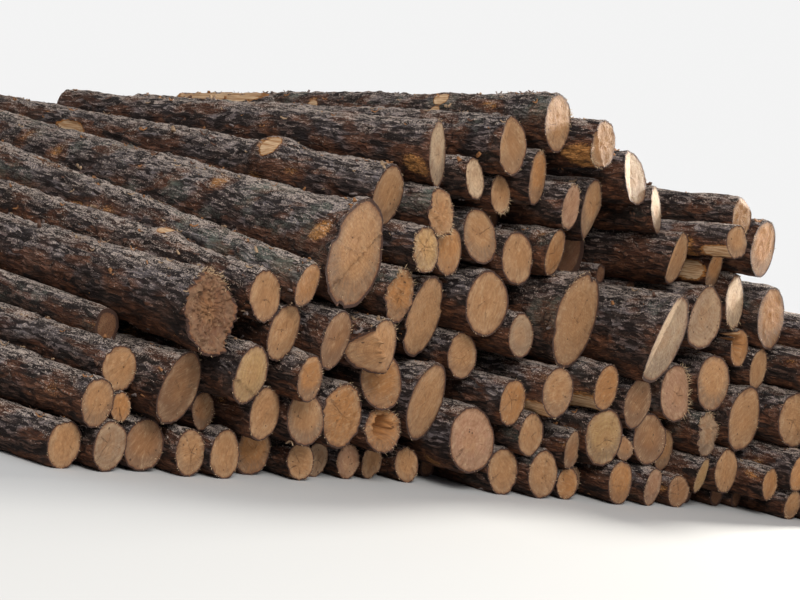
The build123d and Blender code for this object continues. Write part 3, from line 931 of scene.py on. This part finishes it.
# %% Weathering group
weather = bpy.data.node_groups.new("weathering", "ShaderNodeTree")
for name, way, kind in (("Place", "INPUT", "Vector"), ("Stain", "INPUT", "Float"),
                        ("Grit", "INPUT", "Float"), ("Mask", "OUTPUT", "Float")):
    weather.interface.new_socket(name, in_out=way, socket_type="NodeSocket" + kind)
into = weather.nodes.new("NodeGroupInput").outputs
place, stain, grit = [Signal(into[name]) for name in ("Place", "Stain", "Grit")]
large = band(noise(place, 7.0, 5.0, 0.6), 0.45, 0.75)
grains = band(noise(place, 160.0, 2.0, 0.7), 0.5, 0.72)
mask = calc("ADD", large * stain, grains * grit, clamp=True)
connect(mask, weather.nodes.new("NodeGroupOutput").inputs["Mask"])


def weathered(colour, place, stain, grit, dirt):
    """The colour with stains and grit of the dirt's colour over it, by the group."""
    strengths = {"Place": place, "Stain": stain, "Grit": grit}
    return mix(signal(colour.tree, "Group", strengths, "Mask", node_tree=weather), colour, dirt)


print("group:", weather.name)

# %% [markdown]
# ## Pine bark
# Old pine bark is a stack of thin scales. On top of a log they are violet grey: the grey
# is weathering, and laying it on the top is painted sky light. Pale chips show where a
# scale broke, and gather on the crest as a painted highlight; underneath the scales stay
# rust brown.
# Scales are several times longer along the log than across. The log's own places are
# squeezed lengthwise before a cell pattern, so it follows each log and has no seam.
# The place is moved by the log's own random number, so that no two logs are alike.

# %% Places on the log, stretched
SCALE_SQUEEZE, STREAK_SQUEEZE, FIBRE_SQUEEZE = 0.24, 0.10, 0.06
bark, tree, shader = new_finish("pine_bark")
between_furrows, _, seed = three_numbers(held(tree, "mark"))
peeled, flaked, upper = three_numbers(held(tree, "wear"))
moved = vector("ADD", held(tree, "lie"), joined(tree, seed * 17.0))
wander = signal(tree, "TexNoise", {"Vector": moved, "Scale": 14.0, "Detail": 4.0}, "Color")
bent = vector("ADD", moved, vector("SCALE", wander, 0.032))
scale_place = vector("MULTIPLY", bent, (1.0, 1.0, SCALE_SQUEEZE))
streak_place = vector("MULTIPLY", bent, (1.0, 1.0, STREAK_SQUEEZE))
fibre_place = vector("MULTIPLY", moved, (1.0, 1.0, FIBRE_SQUEEZE))
print("places ready for:", bark.name)

# %% [markdown]
# Three patterns lie over each other: large plates with broken furrows, small scales,
# and fine streaks. The furrows fade in and out with a soft noise, because a line drawn
# all round every plate would look like dried mud. Furrows and seams are painted dark as
# their shade, also the furrows that the shape itself has, and they are sunk in the relief.

# %% Plates, scales and streaks
PLATES, SCALES = 26.0, 78.0  # cells in a metre


def cells(place, scale):
    """A cell pattern: a random number for each cell, and the distance from its seed."""
    node = put(place.tree, "TexVoronoi", {"Vector": place, "Scale": scale}, feature="F1")
    tone = signal(place.tree, "SeparateColor", {0: Signal(node.outputs["Color"])})
    return tone, Signal(node.outputs["Distance"])


def cell_edge(place, scale):
    """The distance to the edge of the cell in the same pattern."""
    inputs = {"Vector": place, "Scale": scale}
    return signal(place.tree, "TexVoronoi", inputs, "Distance", feature="DISTANCE_TO_EDGE")


plate_tone = cells(scale_place, PLATES)[0]
scale_tone = cells(scale_place, SCALES)[0]
streaks = noise(streak_place, 95.0, 5.0, 0.65)
crumbs = noise(bent, 150.0, 4.0, 0.7)
cloud = noise(moved, 5.0, 3.0, 0.55)
broken = band(noise(bent, 16.0, 2.0), 0.36, 0.62)
furrow = (1.0 - band(cell_edge(scale_place, PLATES), 0.0, 0.20)) * broken
seam = (1.0 - band(cell_edge(scale_place, SCALES), 0.0, 0.22)) * 0.55
deep = 1.0 - band(between_furrows + streaks * 0.35, 0.25, 0.85)
# painted shade in furrows and seams; the same mask sinks them in the relief
furrow_depth_and_shade = calc("MAXIMUM", calc("MAXIMUM", furrow, seam), deep)
print("cell sizes:", round(1 / PLATES, 3), round(1 / SCALES, 3))

# %% [markdown]
# The colours go on in layers, as they lie on the log: brown at the sides and violet
# grey on top, partly painted sky light, rust where scales have flaked, raw orange where the
# inner layer shows, lichen on some logs, furrows painted dark as their shade, and pale chips
# on the crest as a painted highlight.

# %% Colours of weathered, rusty and chipped bark
lit = band(scale_tone * 0.55 + streaks * 0.6, 0.42, 0.86)
brown = mix(lit, (0.011, 0.006, 0.005), (0.098, 0.053, 0.039))
violet = mix(lit, (0.020, 0.015, 0.016), (0.230, 0.195, 0.200))
# partly painted sky light: the violet grey is laid mostly on the upper side of the log
grey_and_painted_sky_light = upper * 0.75 + (cloud * 0.8 + plate_tone * 0.35) + calc("SINE", seed * 25.0) * 0.14
colour = mix(band(grey_and_painted_sky_light, 0.80, 1.40), brown, violet)
rusty = mix(scale_tone, (0.060, 0.022, 0.012), (0.200, 0.078, 0.036))
red = flaked * 0.95 + plate_tone * 0.40 - upper * 0.32
colour = mix(band(red, 0.38, 0.62) * 0.8, colour, rusty)
raw = mix(streaks, (0.36, 0.135, 0.035), (0.60, 0.30, 0.10))
fresh = flaked + (crumbs - 0.5) * 0.7
colour = mix(band(fresh, 0.86, 0.98), colour, raw)
lichen = band(cloud + crumbs * 0.5, 0.78, 0.95) * (upper * band(seed, 0.35, 0.8))
colour = mix(lichen * 0.75, colour, (0.215, 0.240, 0.195))
# painted shade in the furrows and seams
colour = mix(furrow_depth_and_shade * 0.85, colour, (0.010, 0.007, 0.006))
# painted highlight: pale chips gather on the crest, where the light catches the log
crest_chip_highlight = crumbs * 0.8 + (upper * 0.20 + scale_tone * 0.12) + band(upper, 0.84, 1.0) * 0.045
colour = mix(band(crest_chip_highlight, 0.66, 0.76), colour, (0.50, 0.405, 0.340))
print("colours mixed for:", bark.name)

# %% [markdown]
# Where the bark is off, bare wood shows, with fibres along the log. The edge of such a
# patch is ragged, in tongues that follow the streaks, with a thin orange border.

# %% Bare wood in the bark, and relief
tongues = streaks * 0.45 + noise(bent, 24.0, 3.0) * 0.55
ragged = (peeled + (tongues - 0.5) * 0.55) * band(peeled, 0.15, 0.35)
bare = band(ragged, 0.490, 0.515)
torn_edge = band(ragged, 0.42, 0.47) - bare
bare_wood = mix(band(noise(fibre_place, 130.0, 4.0), 0.3, 0.7),
                (0.30, 0.150, 0.060), (0.66, 0.46, 0.28))
colour = mix(torn_edge, colour, (0.40, 0.17, 0.05))
colour = mix(bare, colour, bare_wood)
colour = weathered(colour, moved, 0.18, 0.16, (0.085, 0.064, 0.052))
relief = plate_tone * 0.5 - furrow_depth_and_shade + scale_tone * 0.35 + (streaks * 0.7 + crumbs * 0.35)
complete(shader, colour, relief * (1.0 - bare), rough=0.84, shine=0.15, depth=0.009, strength=0.85)
print("finish:", bark.name)

# %% [markdown]
# ## Sawn ends
# A sawn end shows the year rings round the pith, fibres pulled down across them by the
# saw, drying cracks that run out from the pith, a darker heart, grey dirt that gathers
# towards the lower rim, blotches, and a thin dark ring of bark. Each log carries its own
# tone. The face keeps its own flat coordinates, measured from the axis in metres, and the
# pith lies a little off the axis.

# %% Rings, rays and drag marks of a sawn end
YEAR, BROAD_BAND = 0.0062, 0.023  # width of a year ring and of a band of darker years
PITH_OFF = 0.014                  # most that the pith lies off the axis each way
sawn, tree, shader = new_finish("sawn_pine")
face = signal(tree, "UVMap", uv_map="sawn_face")
out_share, stain, seed = three_numbers(held(tree, "mark"))
own = vector("ADD", face, joined(tree, z=seed * 31.0))
pith = joined(tree, calc("SINE", seed * 40.0), calc("COSINE", seed * 57.0))
from_pith = vector("SUBTRACT", face, vector("SCALE", pith, PITH_OFF))
to_right, to_top, _ = three_numbers(from_pith)
angle = calc("ARCTAN2", to_top, to_right)
away = length_of(from_pith)
ring_place = away + noise(own, 14.0, 3.0) * 0.022
rings = calc("SINE", ring_place * (2 * math.pi / YEAR))
bands = calc("SINE", ring_place * (2 * math.pi / BROAD_BAND))
ring_dark = rings * 0.45 + bands * 0.55
ray_place = joined(tree, calc("COSINE", angle) * 2.2, calc("SINE", angle) * 2.2,
                   away * 3.0 + seed * 40.0)
rays = noise(ray_place, 5.0, 6.0, 0.65)
turned = signal(tree, "VectorRotate", {"Vector": own, "Angle": seed * 2.6}, rotation_type="Z_AXIS")
drag = noise(vector("MULTIPLY", turned, (1.0, 0.10, 1.0)), 150.0, 4.0, 0.6)
blotch = noise(vector("MULTIPLY", turned, (1.0, 0.6, 1.0)), 34.0, 5.0, 0.7)
fuzz = noise(own, 190.0, 4.0, 0.7)
patches = noise(own, 8.0, 4.0, 0.6)
print("patterns ready for:", sawn.name)

# %% [markdown]
# Rings, rays, fuzz and blotches darken the log's own tone a little each, and drag marks
# and fresh patches brighten it. None is strong by itself, because a sawn end looks rough
# and even from a few steps away.

# %% Colours of the sawn wood
colour = layered(held(tree, "tone"),
                 (ring_dark, -0.5, 0.9, 0.33, (0.22, 0.10, 0.04)),
                 (rays, 0.42, 0.72, 0.46, (0.23, 0.105, 0.042)),
                 (drag, 0.48, 0.72, 0.30, (0.62, 0.41, 0.23)),
                 (fuzz, 0.50, 0.70, 0.34, (0.20, 0.095, 0.042)),
                 (patches, 0.5, 0.75, 0.30, (0.58, 0.37, 0.20)))
heart = 1.0 - band(ring_place, 0.040, 0.085)
colour = mix(heart * 0.25, colour, (0.40, 0.185, 0.07))
sap = out_share + (rays - 0.5) * 0.5
colour = layered(colour, (sap, 0.62, 0.85, 0.14, (0.60, 0.43, 0.27)))
down = calc("SINE", angle) * -0.28
greyed = band(out_share + down + patches * 0.3, 0.62, 1.05)
greyed = greyed * (band(rays, 0.25, 0.75) * 0.5 + 0.4)
colour = mix(greyed * stain, colour, (0.125, 0.085, 0.062))
colour = layered(colour,
                 (blotch, 0.50, 0.66, 0.36, (0.22, 0.092, 0.034)),
                 (blotch, 0.46, 0.32, 0.25, (0.66, 0.47, 0.28)),
                 (out_share + blotch * 0.7, 1.12, 1.36, 0.6, (0.125, 0.058, 0.030)))
print("colours mixed for:", sawn.name)

# %% [markdown]
# Cracks are drawn where a wave in the angle crosses zero, so they always run out from
# the pith. Small dark pits are left by knots and grit. The outermost strip is bark.

# %% Cracks, pits, rim and relief
crack_line = calc("ABSOLUTE", calc("SINE", angle * 2.5 + (seed * 17.0 + rays * 2.5)))
crack = 1.0 - band(crack_line * away, 0.0007, 0.0026)
crack = crack * band(noise(own, 11.0, 1.0), 0.52, 0.62) * band(out_share, 0.95, 0.80)
pit_tone, pit_away = cells(own, 42.0)
pit = band(band(pit_tone, 0.72, 1.0, smooth=False) * 0.26 - pit_away, 0.0, 0.05)
holes = calc("MAXIMUM", crack, pit)
colour = mix(holes * 0.8, colour, (0.06, 0.03, 0.018))
colour = weathered(colour, own, 0.26, 0.16, (0.25, 0.130, 0.062))
rim = out_share + (fuzz - 0.5) * 0.10
colour = mix(band(rim, 0.88, 0.92) * 0.5, colour, (0.22, 0.085, 0.035))
colour = mix(band(rim, 0.925, 0.950), colour, (0.060, 0.029, 0.020))
relief = drag * 0.6 + rays * 0.5 + (fuzz * 0.5 + blotch * 0.6) - holes
complete(shader, colour, relief, rough=0.76, shine=0.3, depth=0.008, strength=0.8)
print("finish:", sawn.name)

# %% [markdown]
# ## Loose flakes and splinters
# Curled flakes show the orange inner side of the bark or its grey outer side, and
# splinters are raw pale wood. One finish does for both, with the colour held by each
# copy and a fine grain over it.

# %% Finish of the loose bits
loose, tree, shader = new_finish("loose_bits")
place = signal(tree, "TexCoord", output="Object")
grain = noise(vector("MULTIPLY", place, (1.0, 0.25, 1.0)), 240.0, 3.0)
colour = layered(held(tree, "tone"), (grain, 0.4, 0.7, 0.5, (0.12, 0.06, 0.03)))
colour = weathered(colour, place, 0.15, 0.2, (0.14, 0.11, 0.09))
complete(shader, colour, grain, rough=0.8, shine=0.3, depth=0.001, strength=0.6)
print("finish:", loose.name)

# %% [markdown]
# ## Dress every node
# Each node gets one piece that stands for its logs. The random numbers of a log start
# from its node's name and its place, so the heap is the same each time, and no log
# changes when another one does. On some creased ends the tone is made paler before the
# crease and darker past it: painted sunlight on one half and painted shade on the other.
# The ends of hidden logs look all over as other ends do near the rim, darker, as painted shade.

# %% Bark and sawn faces of one log
BARK, WOOD, LOOSE = 0, 1, 2  # places of the finishes in a piece
# painted sunlight and painted shade: on these creased ends the tone is paler before the crease and
# darker past it
SUNLIT_AND_SHADED_HALVES = {("large_right_log", 0), ("upper_right", 6), ("upper_left", 3), ("fifth_middle", 6)}
PAINTED_SUNLIT_HALF, PAINTED_SHADED_HALF = 1.25, 0.72
# painted shade: a hidden log's whole end takes the darker colours found near a rim
HIDDEN_END_SHADE_SHARE = 0.93  # a hidden log's end looks as others do at this share of the way to the rim


def add_log(skin, log, key, rng):
    """Bark and both sawn faces of one log, added to the skin of its node."""
    level = level_of(key)
    points, lie, wear, furrow = bark_skin(log, key, rng, level)
    tone = np.array(TONES[ENDS[key[0]][key[1]]]) * (0.80 + 0.30 * rng.random())
    stain, seed = 0.15 + 0.75 * rng.random() ** 1.5, rng.random()

    def marked(first):
        """Three numbers for each corner: the first one varies, stain and seed don't."""
        return np.stack([first, np.full(first.shape, stain), np.full(first.shape, seed)], -1)

    numbers = skin.corners(points, wear=wear, tone=tone, mark=marked(furrow), lie=lie,
                           flat=lie[..., :2])
    skin.faces(between(numbers[:-1], numbers[1:]), BARK)
    for side, row in ((0, 0), (1, -1)):
        face, x, y, share = sawn_face(log, key, rng, points[row], side, level)
        # hidden ends get the rim's darker colours all over, as painted shade
        mark = marked(np.broadcast_to(HIDDEN_END_SHADE_SHARE if level == "hidden" else share, x.shape))
        tones = tone * np.ones((*x.shape, 1))
        # painted sunlight before the crease, painted shade past it
        if key in SUNLIT_AND_SHADED_HALVES and side == 0:
            degrees, crease = CREASES[key][:2]
            tones *= np.where(along_direction(x, y, degrees) < crease, PAINTED_SUNLIT_HALF, PAINTED_SHADED_HALF)[..., None]
        flat = np.stack([x, y], -1)
        inner = skin.corners(face[:-1], tone=tones[:-1], mark=mark[:-1], flat=flat[:-1])
        middle = skin.corners(face[-1:, :1], tone=tone, mark=mark[-1:, :1]).item()
        rings = np.concatenate([numbers[row][None], inner])
        last = rings[-1]
        fan = np.stack([last, np.roll(last, -1), np.full(len(last), middle)], -1)
        for faces in (between(rings[:-1], rings[1:]), fan):
            skin.faces(faces[:, ::-1] if side == 0 else faces, WOOD)
        skin.sharp.append(numbers[row])
    return points


print("bark and faces can be added")

# %% [markdown]
# Flakes lie mostly on top of the logs that are open to view, and a few splinters stand
# on nearly every rim. The thick tufts are listed, with the angle at which they stand.

# %% Loose bits of one log
TUFTS = {  # angle on the rim, spread, how many, length
    ("upper_right", 4): (235, 45, 60, 0.030), ("fifth_left", 2): (300, 50, 60, 0.035),
    ("third_right", 2): (15, 50, 90, 0.045), ("large_middle_log", 0): (120, 30, 40, 0.025),
    ("step_cut_log", 0): (60, 50, 40, 0.030), ("fourth_middle", 0): (100, 60, 60, 0.035),
    ("top_log", 0): (25, 25, 16, 0.030), ("third_right", 3): (100, 70, 60, 0.030),
    ("upper_left", 4): (300, 40, 50, 0.030), ("fifth_left", 1): (200, 80, 60, 0.030),
    ("torn_butt_log", 0): (85, 50, 110, 0.040), ("upper_right", 1): (100, 30, 20, 0.030),
    ("second_left", 5): (90, 60, 40, 0.030), ("fifth_right", 5): (260, 50, 40, 0.030),
    ("broken_hollow_log", 0): (90, 120, 60, 0.030), ("upper_right", 0): (90, 20, 12, 0.04),
}
ANYWHERE = (90, 250, 26, 0.018)  # the few splinters of every rim, told in the same way
LOOSE_WOOD = (0.66, 0.47, 0.28)
FLAKE_TONES = np.array([(0.36, 0.16, 0.06), (0.22, 0.18, 0.17), (0.12, 0.06, 0.04),
                        (0.46, 0.31, 0.19)])
FLAKES = {"hidden": 0, "plain": 14, "shown": 70, "fine": 190}  # most flakes on one log
FLAKE_LONG, FLAKE_THICK, SPLINTER_THICK = 0.038, 0.0018, 0.0021


def add_flakes(skin, log, key, rng, points):
    """Curled flakes at random places of the bark grid, more on top than at the sides."""
    level = level_of(key)
    rings, around = points.shape[:2]
    tries = 3 * FLAKES[level]
    if tries == 0:
        return
    row = rng.integers(2, rings - 2, tries)
    column = rng.integers(0, around, tries)
    theta = 2 * np.pi * column / around
    chance = 0.12 + 0.88 * np.clip(np.sin(theta), 0, 1) ** 3
    keep = np.flatnonzero(rng.random(tries) < chance)[:FLAKES[level]]
    place = points[row[keep], column[keep]]
    out = outward(log, np.cos(theta[keep]), np.sin(theta[keep]))
    along = np.broadcast_to(log["along"], out.shape)
    strips = flakes(rng, place, along, out, FLAKE_LONG, FLAKE_THICK)
    tone = FLAKE_TONES[rng.integers(0, len(FLAKE_TONES), len(keep))]
    numbers = skin.corners(strips, tone=np.repeat(tone[:, None], strips.shape[1], 1))
    skin.faces(numbers[:, FLAKE_FACES].reshape(-1, 4), LOOSE)


def add_splinters(skin, log, key, rng, rim):
    """Needles on the front rim: a few anywhere, and a tuft where one is listed."""
    if level_of(key) == "hidden":
        return
    around = len(rim)
    for degrees, wide, count, long in [ANYWHERE] + ([TUFTS[key]] if key in TUFTS else []):
        theta = np.radians(degrees + wide * np.clip(rng.standard_normal(count), -3, 3) * 0.6)
        place = rim[np.floor(theta / (2 * np.pi) * around).astype(int) % around]
        inward = 1 - 0.22 * rng.random(count)[:, None] ** 2
        middle = rim.mean(0)
        place = middle + (place - middle) * inward
        out = outward(log, np.cos(theta), np.sin(theta))
        needles = splinters(rng, place, out * 0.7 - 0.9 * log["along"], long, SPLINTER_THICK)
        numbers = skin.corners(needles, tone=np.array(LOOSE_WOOD) * (0.7 + 0.3 * rng.random()))
        skin.faces(numbers[:, NEEDLE_SIDES].reshape(-1, 3), LOOSE)
        skin.faces(numbers[:, [3, 2, 1, 0]], LOOSE)


print("tufts listed:", len(TUFTS))

# %% [markdown]
# Now the logs of each node are gathered in one skin, which becomes one piece. The piece
# rides on the heap's only body and stands for its node.

# %% Build the pieces
triangles = 0
for number, node in enumerate(sorted(LOGS)):
    skin = Skin()
    for place, log in enumerate(LOGS[node]):
        key, rng = (node, place), np.random.default_rng([number, place])
        points = add_log(skin, log, key, rng)
        add_flakes(skin, log, key, rng, points)
        add_splinters(skin, log, key, rng, points[0])
    piece = skin.build("dressed_" + node, [bark, sawn, loose])
    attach(piece, "root")
    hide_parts(node)
    triangles += sum(len(face.vertices) - 2 for face in piece.data.polygons)
print("pieces:", len(LOGS), "triangles:", triangles)

# %% [markdown]
# ## Floor, background and light
# The heap stands on a pale studio floor that keeps its shadow. Far from the heap the
# floor fades to the white of the background. Floor and background are white only to rays
# that come from the camera, or from it by way of glossy or clear surfaces, so that
# neither throws light on the object.

# %% Floor
WHITE = (0.9, 0.9, 0.9)
HALF_FLOOR = 60.0
FADE_FROM, FADE_TO = 5.0, 9.0  # distances from the middle of the heap


def seen_directly(tree):
    """1 for rays from the camera and through glossy or clear surfaces, else 0."""
    rays = put(tree, "LightPath").outputs
    names = ("Is Camera Ray", "Is Glossy Ray", "Is Transmission Ray")
    first, glossy, clear = [Signal(rays[name]) for name in names]
    return calc("MAXIMUM", first, calc("MAXIMUM", glossy, clear))


paper, tree, shader = new_finish("pale_floor")
connect((0.52, 0.52, 0.515), shader.inputs["Base Color"])
connect(0.9, shader.inputs["Roughness"])
from_middle = length_of(signal(tree, "TexCoord", output="Object"))
far_off = band(from_middle, FADE_FROM, FADE_TO) * seen_directly(tree)
shades = {0: far_off, 1: Signal(shader.outputs[0]), 2: signal(tree, "Emission", {"Color": WHITE})}
connect(signal(tree, "MixShader", shades), tree.nodes["Material Output"].inputs["Surface"])

ground = bpy.data.meshes.new("floor")
corners = [(x * HALF_FLOOR, y * HALF_FLOOR, 0) for x, y in SQUARE]
ground.from_pydata(corners, [], [(0, 1, 2, 3)])
ground.materials.append(paper)
floor = put_in_scene("floor", ground)
print("floor:", 2 * HALF_FLOOR, "metres wide")

# %% [markdown]
# A big soft lamp high on the camera's side shows the sawn ends. A second one, from the
# right, grazes the face, so that the ends which are turned to it stand out. The world
# fills the shadows.

# %% Lamps and world
def lamp(name, place, aim, size, power, colour):
    """A square area lamp at a place, turned to what it lights."""
    data = bpy.data.lights.new(name, "AREA")
    data.size, data.energy, data.color = size, power, colour
    back = unit(np.array(place, float) - np.array(aim, float))
    side = unit(np.cross(UP, back))
    put_in_scene(name, data).matrix_world = pose(side, np.cross(back, side), back, place)


lamp("soft_front", (-7.0, -8.0, 8.0), (0, -1, 1), 6.0, 1150, (1.0, 0.98, 0.95))
lamp("grazing_right", (11.5, -1.6, 5.5), (0, -1, 1), 2.0, 3400, (1.0, 0.96, 0.88))

world = bpy.data.worlds.new("studio")
bpy.context.scene.world = world
world.use_nodes = True
tree = world.node_tree
glow = tree.nodes["Background"]
connect((0.93, 0.95, 1.0), glow.inputs["Color"])
connect(0.45, glow.inputs["Strength"])
white = signal(tree, "Background", {"Color": WHITE, "Strength": 1.0})
both = signal(tree, "MixShader", {0: seen_directly(tree), 1: Signal(glow.outputs[0]), 2: white})
connect(both, tree.nodes["World Output"].inputs["Surface"])
bpy.context.scene.view_settings.view_transform = "Standard"
print("lamps:", len(bpy.data.lights))
